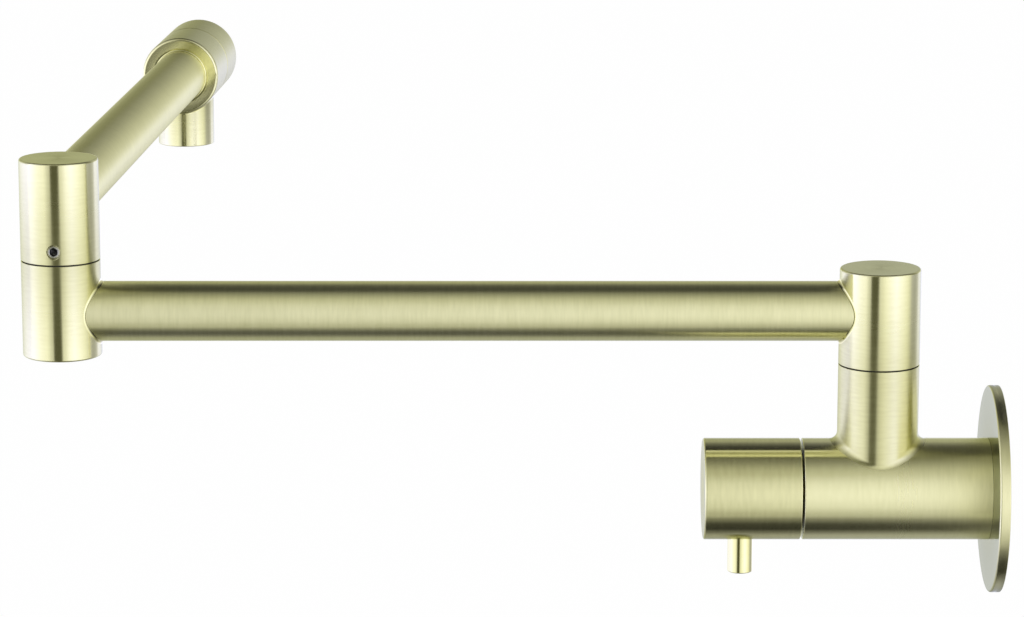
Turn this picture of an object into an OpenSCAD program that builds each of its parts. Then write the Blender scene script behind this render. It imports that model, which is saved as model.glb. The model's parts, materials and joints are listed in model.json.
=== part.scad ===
// Wall mounted pot filler with two folding arms and a valve at each end.
// Millimetres. The origin is where the inlet axis meets the wall, +Y goes into the wall and +Z is up.

/* [Arms] */
// Outer diameter of the arm tubes
tube_d = 22; // [20:0.5:24]
// Wall of the arm tubes
tube_wall = 1.5; // [1:0.25:2]
// First arm, from the riser axis to the elbow axis
arm1_len = 300; // [200:10:400]
// Second arm, from the elbow axis to the front face of the spout body
arm2_len = 305; // [225:10:405]
// Turn of the second arm from square with the first, as it is shown
arm2_turn = 3.6; // [-15:0.1:15]
// Height of the first arm above the riser seam
arm1_rise = 19.9; // [19.5:0.1:23]
// Height of the second arm above the elbow seam
arm2_rise = 22.2; // [19.5:0.1:23]

/* [Wall body] */
// Diameter of the valve body and of its knob
body_d = 37.6; // [36:0.2:42]
// Length of the valve body, from the wall to its mouth
body_len = 72.9; // [71:0.1:85]
// Diameter of the wall flange
flange_d = 76.6; // [70:0.2:90]
// Thickness of the wall flange
flange_t = 4; // [3.5:0.5:8]
// Distance from the wall to the riser axis
riser_out = 45.2; // [42:0.1:50]

/* [Riser and elbow] */
// Diameter of the riser
riser_d = 29.8; // [29:0.2:34]
// Height of the riser seam above the body axis
riser_seam = 47.3; // [42:0.1:60]
// Height of the upper riser hub, from the seam to its top
riser_hub_h = 36; // [34.5:0.1:45]
// Diameter of the elbow
elbow_d = 29; // [28.4:0.2:34]
// Depth of the elbow below the first arm's axis
elbow_drop = 16.3; // [14:0.1:25]
// Height of the elbow seam above the first arm's axis
elbow_seam_up = 19.2; // [16:0.1:30]
// Height of the upper elbow hub, from the seam to its top
elbow_hub_h = 37.7; // [36:0.1:45]
// Width of the seam at each swivel, where the slip washer lies
seam_gap = 0.5; // [0.4:0.05:0.8]

/* [Swivels] */
// Diameter of the spigot that each hub turns on
spigot_d = 20; // [19:0.5:20.5]
// Height of the spigot above the seam
spigot_h = 11.6; // [11.4:0.1:11.9]
// Waterway through the spigot
spigot_bore = 13; // [10:0.5:14]
// Thickness of the O-rings
ring_t = 1.7; // [1.4:0.05:1.8]
// Diameter of the grub screws that keep the hubs on their spigots
grub_d = 5; // [4:0.5:6]
// Height of the grub screws above the seams
grub_up = 5.3; // [5.1:0.1:5.5]

/* [Spout] */
// Diameter of the spout body and of its knob
head_d = 33.4; // [32.8:0.2:38]
// Length of the spout body
head_len = 32.3; // [31.8:0.1:46]
// Diameter of the outlet
outlet_d = 24.6; // [24:0.2:28]
// Distance from the front face of the spout body to the outlet axis
outlet_in = 16.1; // [15.8:0.1:17.6]
// Depth of the outlet below the second arm's axis
outlet_drop = 32.2; // [31.6:0.2:50]
// Depth of the tube's socket in the spout body
tube_seat = 5; // [3:0.5:6]

/* [Handles] */
// Gap between a valve and its knob
knob_gap = 0.8; // [0.5:0.1:2]
// Length of the wall valve's knob
main_knob_len = 35.8; // [30:0.1:50]
// Length of the spout valve's knob
spout_knob_len = 29; // [28:0.2:50]
// Distance from a knob's end face to its lever pin
pin_in = 14.1; // [10:0.1:15]
// Diameter of the lever pins
pin_d = 9.4; // [8:0.1:11]
// Reach of a lever pin beyond its knob
pin_out = 13.2; // [8:0.1:40]

/* [Valves] */
// Bore of the inlet thread, a half inch pipe thread
inlet_d = 18.6; // [17:0.1:20]
// Depth of the inlet thread
inlet_depth = 14; // [12:0.5:15]
// Diameter of the valve cartridges
cartridge_d = 21; // [20:0.2:21.4]
// Diameter of the valve spindles
spindle_d = 8; // [7:0.2:9]
// Thickness of the ceramic discs
disc_t = 3; // [2.5:0.1:3.2]
// Diameter of the aerator in the outlet
aerator_d = 20; // [19.2:0.2:20.4]
// Height of the aerator
aerator_h = 11; // [9:0.5:12]

/* [Fillets] */
// Radius of the fillet between the riser and the valve body
riser_fillet = 3; // [1.5:0.25:4]
// Radius of the braze at the ends of the tubes and at the outlet
braze_r = 1.2; // [0.8:0.1:2]

/* [Hidden] */
$fn = 96;

// Clearances: a running fit, a seated fit and the air round a braze
run_fit = 0.05;
seat_fit = 0.05;
braze_fit = 0.05;

// Heights and places that follow from the sizes above
arm1_z = riser_seam + arm1_rise;
elbow_seam = arm1_z + elbow_seam_up;
arm2_z = elbow_seam + arm2_rise;
elbow_y = -riser_out - arm1_len;
arm2_az = 180 - arm2_turn;

// Edges
edge_r = 0.8;
fine_edge = 0.4;
head_edge = 1.2;

// Waterways
port_d = 15;
chamber_d = 18;
lid_t = 5;
feed_d = 11;
inlet_washer_room = 2;
outlet_bore = 14;

// Grooves of the spigot, as heights above the seam
ring_groove_w = ring_t + 0.3;
ring_groove_d = ring_t + 0.1;
low_ring_up = 1.9;
high_ring_up = 9;
grub_groove_w = 3.6;
grub_groove_depth = 1;
washer_in = 0.6;

// Wall flange
neck_d = 32;
wall_ring_d = 62;
wall_ring_t = 2;

// Cartridge
seal_t = 1.5;
seal_bore = 12.4;
disc_d = cartridge_d - 4;
ports_d = disc_d - 3;
port_start = 2.2;
port_slope = 0.85;
slot_w = 3.1;
slot_h = 1;
window_w = 8;
window_h = 5.3;
seat_lead = 9.6;
hex_d = 25.4;
hex_h = 6.4;
hex_in = 2;
hex_room_d = 27;
spline_n = 20;
spline_h = 0.45;
spindle_ring_t = 1.2;
main_seat = riser_out - seat_lead;
spout_seat = arm2_len + outlet_in - seat_lead;
main_mouth = body_len;
spout_mouth = arm2_len + head_len;

// Aerator, in the outlet's mouth
aerator_top = outlet_drop - aerator_h;
aerator_lip_h = 1.2;
aerator_lip_w = 0.8;
aerator_lip = outlet_drop - 1.5;
aerator_washer_room = 2;
screen_d = aerator_d - 3.5;
screen_h = 6;
screen_cell = 2.6;
screen_web = 0.5;

// Knobs
cup_wall = 4;
cup_h = 10;
pin_pocket = 3;
pin_stud_d = 5;
main_pin = main_mouth + knob_gap + main_knob_len - pin_in;
spout_pin = spout_mouth + knob_gap + spout_knob_len - pin_in;

// Colours
brass = [0.78, 0.70, 0.46];
dark_rubber = [0.10, 0.10, 0.11];
white_plastic = [0.88, 0.88, 0.86];
ceramic = [0.93, 0.92, 0.90];
steel = [0.70, 0.71, 0.72];

// Lays what is drawn along +Z out level at an azimuth, with its +Y up
module lay(azimuth) rotate([90, 0, 90 + azimuth]) children();

// Places: the wall valve, the riser, the elbow and the second arm
module at_valve() lay(-90) children();
module at_riser() translate([0, -riser_out, 0]) children();
module at_arm1() translate([0, -riser_out, arm1_z]) lay(-90) children();
module at_elbow() translate([0, elbow_y, 0]) children();
module at_arm2() translate([0, elbow_y, arm2_z]) lay(arm2_az) children();

// Points of an arc round [x, y]
function arc(x, y, r, from, to) = let (n = r > 0 ? 4 : 0)
    [for (i = [0:n]) [x + r * cos(from + (to - from) * i / max(n, 1)), y + r * sin(from + (to - from) * i / max(n, 1))]];

// A turned bar from z0 to z1 with rounded rims
module bar(d, z0, z1, e0 = 0, e1 = 0)
    rotate_extrude()
        polygon(concat([[0, z0]], arc(d / 2 - e0, z0 + e0, e0, -90, 0), arc(d / 2 - e1, z1 - e1, e1, 0, 90), [[0, z1]]));

// A plain hole from z0 to z1
module hole(d, z0, z1) translate([0, 0, z0]) cylinder(d = d, h = z1 - z0);

// A plain ring from z0 to z1
module ring(d_out, d_in, z0, z1)
    difference() {
        hole(d_out, z0, z1);
        hole(d_in, z0 - 1, z1 + 1);
    }

// An O-ring: its middle diameter, its thickness and its height
module o_ring(d, t, z) translate([0, 0, z]) rotate_extrude() translate([d / 2, 0]) circle(d = t, $fn = 24);

// Points of the fillet that a ball of radius f leaves in the corner between a bar along X of radius R
// and a bar along Z of radius r, at the angle t round the Z bar: down the ball, in along X and up Z
function corner(r, R, t) = [r * cos(t), r * sin(t), sqrt(R * R - pow(r * sin(t), 2))];
function ball(r, R, f, t) = corner(r + f, R + f, t);
function on_stem(r, R, f, t) = [r * cos(t), r * sin(t), ball(r, R, f, t)[2]];
function on_main(r, R, f, t) = let (c = ball(r, R, f, t)) [c[0], c[1] * R / (R + f), c[2] * R / (R + f)];
function round_main(p, R) = let (k = R / norm([p[1], p[2]])) [p[0], p[1] * k, p[2] * k];
function ball_point(r, R, f, t, k) =
    let (c = ball(r, R, f, t), u = on_stem(r, R, f, t) - c, v = on_main(r, R, f, t) - c)
    let (w = acos(u * v / (f * f)))
    c + (sin((1 - k) * w) * u + sin(k * w) * v) / sin(w);
function fillet_section(r, R, f, t) = concat(
    [for (i = [0:4]) ball_point(r, R, f, t, i / 4)],
    [for (i = [1:2]) round_main(on_main(r, R, f, t) * (1 - i / 3) + corner(r, R, t) * i / 3, R)],
    [corner(r, R, t)]
);

// The fillet as one closed ring, clear of both bars by braze_fit
module fillet_ring(stem_d, main_d, f) {
    steps = 48;
    sides = 8;
    r = stem_d / 2 + braze_fit;
    R = main_d / 2 + braze_fit;
    points = [for (i = [0:steps - 1]) each fillet_section(r, R, f, i * 360 / steps)];
    function at(i, j) = (i % steps) * sides + j % sides;
    faces = [for (i = [0:steps - 1]) for (j = [0:sides - 1])
        each [[at(i, j), at(i + 1, j), at(i + 1, j + 1)], [at(i, j), at(i + 1, j + 1), at(i, j + 1)]]];
    polyhedron(points, faces);
}

// The spigot above a seam, with its two ring grooves and the groove for the grub screw
module spigot(seam) {
    difference() {
        bar(spigot_d, seam - 1, seam + spigot_h, 0, fine_edge);
        for (up = [low_ring_up, high_ring_up])
            ring(spigot_d + 2, spigot_d - 2 * ring_groove_d, seam + up - ring_groove_w / 2, seam + up + ring_groove_w / 2);
        ring(spigot_d + 2, spigot_d - 2 * grub_groove_depth,
            seam + grub_up - grub_groove_w / 2, seam + grub_up + grub_groove_w / 2);
    }
}

module spigot_rings(seam)
    for (up = [low_ring_up, high_ring_up])
        o_ring(spigot_d - ring_t - 2 * run_fit, ring_t, seam + up);

module slip_washer(seam, d) ring(d - 2 * washer_in, spigot_d + 2 * run_fit, seam + run_fit, seam + seam_gap - run_fit);

// An upper hub: a closed cup that turns on the spigot and takes the tube in its side
module hub(d, seam, top, port_z) {
    difference() {
        bar(d, seam + seam_gap, top, fine_edge, edge_r);
        hole(spigot_d + 2 * run_fit, seam, seam + spigot_h + 0.3);
        hole(chamber_d, seam + 1, top - lid_t);
        translate([0, 0, port_z]) lay(0) hole(port_d, 0, d);
        translate([0, 0, seam + grub_up]) lay(180) hole(grub_d + 2 * seat_fit, spigot_d / 2 - 1, d);
    }
}

// A grub screw with a hexagon socket and a dog point that runs in the spigot's groove
module grub_screw(d, seam) {
    face = d / 2 - 0.7;
    key_d = grub_d / 2 / cos(30);
    translate([0, 0, seam + grub_up]) lay(180)
        difference() {
            union() {
                bar(grub_d, spigot_d / 2 + 0.4, face, 0, 0.3);
                hole(grub_groove_w - 0.3, spigot_d / 2 - grub_groove_depth + 0.3, spigot_d / 2 + 1);
            }
            translate([0, 0, face - grub_d / 2]) cylinder(d = key_d, h = grub_d, $fn = 6);
        }
}

// A tube between two places, saddled round the hub at its start
module arm_tube(len, hub_d)
    difference() {
        hole(tube_d, 0, len);
        hole(tube_d - 2 * tube_wall, -1, len + 1);
        rotate([90, 0, 0]) translate([0, 0, -tube_d]) cylinder(d = hub_d + 2 * braze_fit, h = 2 * tube_d);
    }

// Two ports of a ceramic disc
module disc_ports(z0, z1)
    for (a = [90, 270])
        rotate([0, 0, a]) intersection() {
            hole(ports_d, z0, z1);
            translate([0, 0, z0]) linear_extrude(z1 - z0)
                polygon([[port_start, 0], [disc_d, disc_d * port_slope], [disc_d, -disc_d * port_slope]]);
        }

// Splined outline of the spindle, or of its socket where extra is above 0
module spline_outline(extra)
    polygon([for (i = [0:2 * spline_n - 1])
        let (r = spindle_d / 2 - seat_fit - (i % 2) * spline_h + extra)
        [r * cos(i * 180 / spline_n), r * sin(i * 180 / spline_n)]]);

// Places along a valve's axis
function fixed_disc_z(seat) = seat + seal_t + seat_fit;
function moving_disc_z(seat) = fixed_disc_z(seat) + disc_t + run_fit;
function disc_back(seat) = moving_disc_z(seat) + disc_t;
function window_z(seat) = disc_back(seat) + 0.3;
function gland_z(mouth) = mouth - hex_in - hex_h / 2;

module seat_seal(seat) color(dark_rubber) ring(disc_d - 0.2, seal_bore, seat + seat_fit, seat + seal_t);

// The disc that stays put, its ports crosswise to those of the moving one while the valve is shut
module fixed_disc(seat)
    color(ceramic) difference() {
        hole(disc_d, fixed_disc_z(seat), fixed_disc_z(seat) + disc_t);
        rotate([0, 0, 90]) disc_ports(fixed_disc_z(seat) - 1, moving_disc_z(seat) + 1);
    }

module moving_disc(seat)
    color(ceramic) difference() {
        hole(disc_d, moving_disc_z(seat), disc_back(seat));
        disc_ports(moving_disc_z(seat) - 1, disc_back(seat) + 1);
        translate([-disc_d, -slot_w / 2, disc_back(seat) - slot_h]) cube([2 * disc_d, slot_w, 2 * slot_h]);
    }

// The cartridge housing: windows over the discs, a gland for the spindle and a hexagon head
module cartridge_housing(seat, mouth)
    color(brass) difference() {
        union() {
            hole(cartridge_d - 2 * seat_fit, seat + seat_fit, mouth - hex_in - 1);
            translate([0, 0, mouth - hex_in - hex_h + seat_fit]) cylinder(d = hex_d, h = hex_h - seat_fit, $fn = 6);
        }
        hole(disc_d + 2 * seat_fit, seat - 1, window_z(seat) + window_h);
        hole(spindle_d + 2 * run_fit, seat, mouth);
        translate([-window_w / 2, -cartridge_d, window_z(seat)]) cube([window_w, 2 * cartridge_d, window_h]);
    }

// The spindle: a tongue in the moving disc, the turned shaft with its ring groove and the splined end
module spindle(seat, mouth, pin)
    color(brass) difference() {
        union() {
            intersection() {
                hole(disc_d - 0.5, disc_back(seat) - slot_h + seat_fit, disc_back(seat) + 2);
                translate([-disc_d, -slot_w / 2 + seat_fit, seat]) cube([2 * disc_d, slot_w - 2 * seat_fit, mouth]);
            }
            hole(spindle_d, disc_back(seat) + 1, mouth + knob_gap);
            translate([0, 0, mouth]) linear_extrude(pin + pin_d / 2 - mouth) spline_outline(0);
        }
        ring(spindle_d + 2, spindle_d - 2 * spindle_ring_t - 0.1,
            gland_z(mouth) - spindle_ring_t / 2 - 0.15, gland_z(mouth) + spindle_ring_t / 2 + 0.15);
    }

module spindle_ring(mouth) color(dark_rubber) o_ring(spindle_d - spindle_ring_t, spindle_ring_t - 0.02, gland_z(mouth));

// A knob: a cup over the valve's mouth, a splined socket and the seat of its lever pin
module knob(d, mouth, len, pin) {
    start = mouth + knob_gap;
    color(brass) difference() {
        bar(d, start, start + len, fine_edge, edge_r);
        hole(d - 2 * cup_wall, start - 1, start + cup_h);
        translate([0, 0, start]) linear_extrude(pin + pin_d / 2 + 1 - start) spline_outline(seat_fit);
        translate([0, 0, pin]) rotate([90, 0, 0]) hole(pin_stud_d + 2 * seat_fit, 0, d);
        translate([0, 0, pin]) rotate([90, 0, 0]) hole(pin_d + 2 * seat_fit, d / 2 - pin_pocket, d);
    }
}

// A lever pin: a stud that holds the knob on its spindle and a polished bar with a domed end
module lever_pin(d, pin) {
    tip = d / 2 + pin_out;
    color(brass) translate([0, 0, pin]) rotate([90, 0, 0]) intersection() {
        union() {
            hole(pin_stud_d, spindle_d / 2 + 0.1, tip - 2);
            bar(pin_d, d / 2 - pin_pocket + seat_fit, tip, 0, fine_edge);
        }
        translate([0, 0, tip - 2 * pin_d]) sphere(r = 2 * pin_d);
    }
}

// The disc against the wall, with a groove in its back for the ring that seals it
module wall_flange()
    color(brass) at_valve() difference() {
        bar(flange_d, 0, flange_t, 0, edge_r);
        hole(neck_d + 2 * seat_fit, -1, flange_t + 1);
        ring(wall_ring_d + wall_ring_t + 0.4, wall_ring_d - wall_ring_t - 0.4, -1, wall_ring_t + 0.1);
    }

module flange_o_ring() color(dark_rubber) at_valve() o_ring(wall_ring_d, wall_ring_t - 0.1, wall_ring_t / 2 + 0.02);

// The valve body: neck, inlet thread, seat, cartridge bore and the port up to the riser
module valve_body()
    color(brass) difference() {
        union() {
            at_valve() bar(body_d, flange_t + seat_fit, body_len, 0, fine_edge);
            at_valve() hole(neck_d, 0, flange_t + 1);
        }
        at_valve() {
            hole(inlet_d, -1, inlet_depth);
            hole(inlet_d + 1, inlet_depth, inlet_depth + inlet_washer_room);
            hole(feed_d, inlet_depth, main_seat + 1);
            hole(cartridge_d, main_seat, body_len + 1);
            hole(hex_room_d, body_len - hex_in - hex_h, body_len + 1);
        }
        at_riser() hole(spigot_bore, 0, body_d);
    }

// The riser: a bored stub saddled on the valve body, with the spigot of the first arm on top
module riser_stub()
    color(brass) difference() {
        union() {
            at_riser() bar(riser_d, 0, riser_seam, 0, fine_edge);
            at_riser() spigot(riser_seam);
        }
        at_valve() hole(body_d + 2 * braze_fit, 0, body_len);
        at_riser() hole(spigot_bore, 0, riser_seam + spigot_h + 1);
    }

module riser_fillet_ring()
    color(brass) at_riser() rotate([0, 0, 90]) fillet_ring(riser_d, body_d, riser_fillet);

module inlet_washer()
    color(dark_rubber) at_valve()
        ring(inlet_d + 1 - 2 * seat_fit, feed_d + 1, inlet_depth + seat_fit, inlet_depth + inlet_washer_room - seat_fit);

module main_cartridge_housing() at_valve() cartridge_housing(main_seat, main_mouth);
module main_seat_seal() at_valve() seat_seal(main_seat);
module main_fixed_disc() at_valve() fixed_disc(main_seat);
module riser_o_rings() color(dark_rubber) at_riser() spigot_rings(riser_seam);
module riser_slip_washer() color(dark_rubber) at_riser() slip_washer(riser_seam, riser_d);

module main_spindle() at_valve() spindle(main_seat, main_mouth, main_pin);
module main_spindle_o_ring() at_valve() spindle_ring(main_mouth);
module main_moving_disc() at_valve() moving_disc(main_seat);
module main_knob() at_valve() knob(body_d, main_mouth, main_knob_len, main_pin);
module main_lever_pin() at_valve() lever_pin(body_d, main_pin);

module arm1_riser_hub()
    color(brass) at_riser() rotate([0, 0, -90]) hub(riser_d, riser_seam, riser_seam + riser_hub_h, arm1_z);

module riser_grub_screw() color(steel) at_riser() rotate([0, 0, -90]) grub_screw(riser_d, riser_seam);

module arm1_tube()
    color(brass) difference() {
        at_arm1() arm_tube(arm1_len, riser_d);
        at_elbow() hole(elbow_d + 2 * braze_fit, 0, elbow_seam);
    }

module arm1_braze()
    color(brass) {
        at_arm1() braze_at(riser_d);
        translate([0, elbow_y, arm1_z]) lay(90) braze_at(elbow_d);
    }

// The braze where a tube along +Z leaves an upright hub that stands along Y here
module braze_at(hub_d) rotate([0, 0, 90]) fillet_ring(tube_d, hub_d, braze_r);

// The lower elbow hub: a bored bar with a spigot on top
module arm1_elbow_hub()
    color(brass) difference() {
        union() {
            at_elbow() bar(elbow_d, arm1_z - elbow_drop, elbow_seam, edge_r, fine_edge);
            at_elbow() spigot(elbow_seam);
        }
        at_elbow() hole(spigot_bore, arm1_z - elbow_drop + lid_t, elbow_seam + spigot_h + 1);
        translate([0, elbow_y, arm1_z]) lay(90) hole(port_d, 0, elbow_d);
    }

module elbow_o_rings() color(dark_rubber) at_elbow() spigot_rings(elbow_seam);
module elbow_slip_washer() color(dark_rubber) at_elbow() slip_washer(elbow_seam, elbow_d);

module arm2_elbow_hub()
    color(brass) at_elbow() rotate([0, 0, arm2_az]) hub(elbow_d, elbow_seam, elbow_seam + elbow_hub_h, arm2_z);

module elbow_grub_screw() color(steel) at_elbow() rotate([0, 0, arm2_az]) grub_screw(elbow_d, elbow_seam);

module arm2_tube() color(brass) at_arm2() arm_tube(arm2_len + tube_seat - seat_fit, elbow_d);

module arm2_braze()
    color(brass) at_arm2() {
        braze_at(elbow_d);
        tube_collar();
    }

// The braze ring round the tube on the front face of the spout body
module tube_collar()
    rotate_extrude() {
        r = tube_d / 2 + braze_fit;
        z = arm2_len - braze_fit;
        polygon(concat([[r, z]], arc(r + braze_r, z - braze_r, braze_r, 90, 180)));
    }

// The spout body: the tube's socket, seat, cartridge bore and the port down to the outlet
module spout_body()
    color(brass) at_arm2() difference() {
        bar(head_d, arm2_len, spout_mouth, head_edge, fine_edge);
        hole(tube_d + 2 * seat_fit, arm2_len - 1, arm2_len + tube_seat);
        hole(feed_d, arm2_len, spout_seat + 1);
        hole(cartridge_d, spout_seat, spout_mouth + 1);
        hole(hex_room_d, spout_mouth - hex_in - hex_h, spout_mouth + 1);
        at_outlet() hole(outlet_bore, 0, head_d);
    }

// The outlet: a short pipe saddled under the spout body, with the aerator's seat in its mouth
module outlet_pipe()
    color(brass) at_arm2() difference() {
        at_outlet() bar(outlet_d, 0, outlet_drop, 0, fine_edge);
        hole(head_d + 2 * braze_fit, arm2_len, spout_mouth);
        at_outlet() hole(outlet_bore, 0, outlet_drop);
        at_outlet() hole(aerator_d + 2 * seat_fit, aerator_top - aerator_washer_room, outlet_drop + 1);
    }

// The outlet's axis, in the second arm's frame, with +Z down the outlet
module at_outlet() translate([0, 0, arm2_len + outlet_in]) rotate([90, 0, 0]) children();

module outlet_braze() color(brass) at_arm2() at_outlet() rotate([0, 0, 90]) fillet_ring(outlet_d, head_d, braze_r);

module spout_cartridge_housing() at_arm2() cartridge_housing(spout_seat, spout_mouth);
module spout_seat_seal() at_arm2() seat_seal(spout_seat);
module spout_fixed_disc() at_arm2() fixed_disc(spout_seat);

// The aerator: a threaded cage with a rim, a screen of hexagonal cells and a washer above
module aerator_cage()
    color(brass) at_arm2() at_outlet() difference() {
        bar(aerator_d, aerator_top, aerator_lip + aerator_lip_h, 0, fine_edge);
        hole(screen_d + 2 * seat_fit, aerator_top - 1, aerator_lip);
        hole(screen_d - 2 * aerator_lip_w, aerator_top, outlet_drop + 1);
    }

module aerator_screen() {
    pitch = screen_cell + screen_web;
    color(white_plastic) at_arm2() at_outlet() difference() {
        hole(screen_d, aerator_lip - screen_h, aerator_lip - seat_fit);
        for (i = [-2:2]) for (j = [-2:2])
            if (abs(i + j) <= 2)
                translate([pitch * (i + j / 2), pitch * j * sin(60), aerator_top])
                    rotate([0, 0, 30]) cylinder(d = screen_cell / cos(30), h = aerator_h, $fn = 6);
    }
}

module aerator_washer()
    color(dark_rubber) at_arm2() at_outlet()
        ring(aerator_d - washer_in, port_d, aerator_top - aerator_washer_room + seat_fit, aerator_top - seat_fit);

module spout_spindle() at_arm2() spindle(spout_seat, spout_mouth, spout_pin);
module spout_spindle_o_ring() at_arm2() spindle_ring(spout_mouth);
module spout_moving_disc() at_arm2() moving_disc(spout_seat);
module spout_knob() at_arm2() knob(head_d, spout_mouth, spout_knob_len, spout_pin);
module spout_lever_pin() at_arm2() lever_pin(head_d, spout_pin);

wall_flange();
flange_o_ring();
valve_body();
riser_stub();
riser_fillet_ring();
inlet_washer();
main_cartridge_housing();
main_seat_seal();
main_fixed_disc();
riser_o_rings();
riser_slip_washer();
main_spindle();
main_spindle_o_ring();
main_moving_disc();
main_knob();
main_lever_pin();
arm1_riser_hub();
riser_grub_screw();
arm1_tube();
arm1_braze();
arm1_elbow_hub();
elbow_o_rings();
elbow_slip_washer();
arm2_elbow_hub();
elbow_grub_screw();
arm2_tube();
arm2_braze();
spout_body();
outlet_pipe();
outlet_braze();
spout_cartridge_housing();
spout_seat_seal();
spout_fixed_disc();
aerator_cage();
aerator_screen();
aerator_washer();
spout_spindle();
spout_spindle_o_ring();
spout_moving_disc();
spout_knob();
spout_lever_pin();
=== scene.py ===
"""Looks of a wall mounted pot filler in brushed pale brass: two folding arms and a valve at each end.

Sizes are in millimetres, as in the part's source, and turn to metres where a mesh is made.
"""

import json
import math

import bpy
import numpy as np
from mathutils import Matrix, Vector

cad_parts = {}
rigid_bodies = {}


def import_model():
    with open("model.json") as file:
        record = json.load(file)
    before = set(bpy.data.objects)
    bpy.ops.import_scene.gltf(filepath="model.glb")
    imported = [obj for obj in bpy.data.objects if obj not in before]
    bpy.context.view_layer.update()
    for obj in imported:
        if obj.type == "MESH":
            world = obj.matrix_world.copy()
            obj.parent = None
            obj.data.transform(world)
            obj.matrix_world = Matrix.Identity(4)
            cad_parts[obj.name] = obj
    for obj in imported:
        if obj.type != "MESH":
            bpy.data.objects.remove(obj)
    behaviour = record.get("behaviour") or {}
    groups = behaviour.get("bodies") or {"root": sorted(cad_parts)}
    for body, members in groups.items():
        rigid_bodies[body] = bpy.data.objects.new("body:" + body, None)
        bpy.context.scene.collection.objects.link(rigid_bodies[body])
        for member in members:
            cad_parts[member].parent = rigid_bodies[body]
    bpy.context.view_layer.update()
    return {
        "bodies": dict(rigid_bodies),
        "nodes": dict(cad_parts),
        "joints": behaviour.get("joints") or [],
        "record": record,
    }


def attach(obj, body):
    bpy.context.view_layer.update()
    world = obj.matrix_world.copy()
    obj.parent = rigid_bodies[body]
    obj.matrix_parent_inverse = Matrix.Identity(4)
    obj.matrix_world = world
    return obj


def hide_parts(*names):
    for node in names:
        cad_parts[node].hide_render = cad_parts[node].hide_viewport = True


MM = 0.001

# Arms
TUBE_D, TUBE_WALL = 22.0, 1.5
ARM1_LEN, ARM2_LEN, ARM2_TURN = 300.0, 305.0, 3.6

# Wall body
BODY_D, BODY_LEN, NECK_D = 37.6, 72.9, 32.0
FLANGE_D, FLANGE_T = 76.6, 4.0
WALL_RING_D, WALL_RING_T = 62.0, 2.0

# Riser and elbow, with heights above the valve's axis
RISER_OUT, RISER_D, RISER_SEAM, RISER_TOP = 45.2, 29.8, 47.3, 83.3
ARM1_Z = 67.2
ELBOW_D, ELBOW_FOOT, ELBOW_SEAM, ELBOW_TOP = 29.0, 50.9, 86.4, 124.1
ARM2_Z = 108.6
SEAM_GAP, SEAM_EDGE = 0.5, 0.15
HUB_END, HUB_HOLLOW_D = 5.0, 18.0

# Spigots and grub screws
SPIGOT_D, SPIGOT_H, SPIGOT_BORE = 20.0, 11.6, 13.0
RING_T, LOW_RING_UP, HIGH_RING_UP = 1.7, 1.9, 9.0
GRUB_D, GRUB_UP, GRUB_SUNK = 5.0, 5.3, 0.7
DOG_GROOVE_W, DOG_GROOVE_DEEP = 3.6, 1.0

# Spout
HEAD_D, HEAD_LEN = 33.4, 32.3
OUTLET_D, OUTLET_BORE, OUTLET_IN, OUTLET_DROP = 24.6, 14.0, 16.1, 32.2
TUBE_SEAT = 5.0

# Valves and handles
KNOB_GAP, MAIN_KNOB_LEN, SPOUT_KNOB_LEN = 0.8, 35.8, 29.0
KNOB_WALL, KNOB_HOLLOW = 4.0, 10.0
PIN_IN, PIN_D, PIN_OUT, PIN_SUNK = 14.1, 9.4, 13.2, 3.0
CARTRIDGE_D, HEX_ROOM_D, HEX_DEEP = 21.0, 27.0, 8.4
SEAT_LEAD, FEED_D, SPINDLE_D = 9.6, 11.0, 8.0
GLAND_IN, GLAND_RING_R, GLAND_RING_T = 5.2, 3.4, 1.18
INLET_DEEP, INLET_SEAT_D = 14.0, 19.6
THREAD_ROOT_D, THREAD_CREST_D, THREAD_PITCH = 20.9, 18.7, 1.814

# Aerator
AERATOR_D, AERATOR_H, SCREEN_D, SCREEN_H = 20.0, 11.0, 16.5, 6.0
SCREEN_CELL, SCREEN_WEB = 2.6, 0.5

# Fillets
RISER_FILLET, BRAZE_R = 3.0, 1.2

# The gap of a close fit, and how far a piece runs into the one that it is joined to
FIT, SUNK = 0.05, 0.4

# The rounding of a plain edge, and the one from which an outer edge is worn bright
EDGE, WORN_EDGE = 0.12, 0.25

# The least cosine between a face and the round surface that it belongs to
SAME_WAY = 0.9

UP = Vector((0, 0, 1))
TO_ROOM = Vector((0, -1, 0))
ALONG_ARM2 = Vector((-math.cos(math.radians(ARM2_TURN)), math.sin(math.radians(ARM2_TURN)), 0))


def place(origin, axis, across=None):
    """The frame of a piece: its +Z along axis, and its +X across where that is given."""
    axis = Vector(axis).normalized()
    if across is None:
        across = UP if abs(axis.z) < 0.5 else Vector((1, 0, 0))
    across = (Vector(across) - axis * axis.dot(Vector(across))).normalized()
    side = axis.cross(across)
    frame = Matrix((across, side, axis)).transposed().to_4x4()
    frame.translation = Vector(origin)
    return frame


VALVE = place((0, 0, 0), TO_ROOM)
RISER = place((0, -RISER_OUT, 0), UP)
ARM1 = place((0, -RISER_OUT, ARM1_Z), TO_ROOM)
ELBOW_Y = -RISER_OUT - ARM1_LEN
ELBOW = place((0, ELBOW_Y, 0), UP)
ARM1_END = place((0, ELBOW_Y, ARM1_Z), -TO_ROOM)
ARM2 = place((0, ELBOW_Y, ARM2_Z), ALONG_ARM2)
OUTLET_TOP = Vector((0, ELBOW_Y, ARM2_Z)) + ALONG_ARM2 * (ARM2_LEN + OUTLET_IN)
OUTLET = place(OUTLET_TOP, -UP, ALONG_ARM2)


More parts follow.
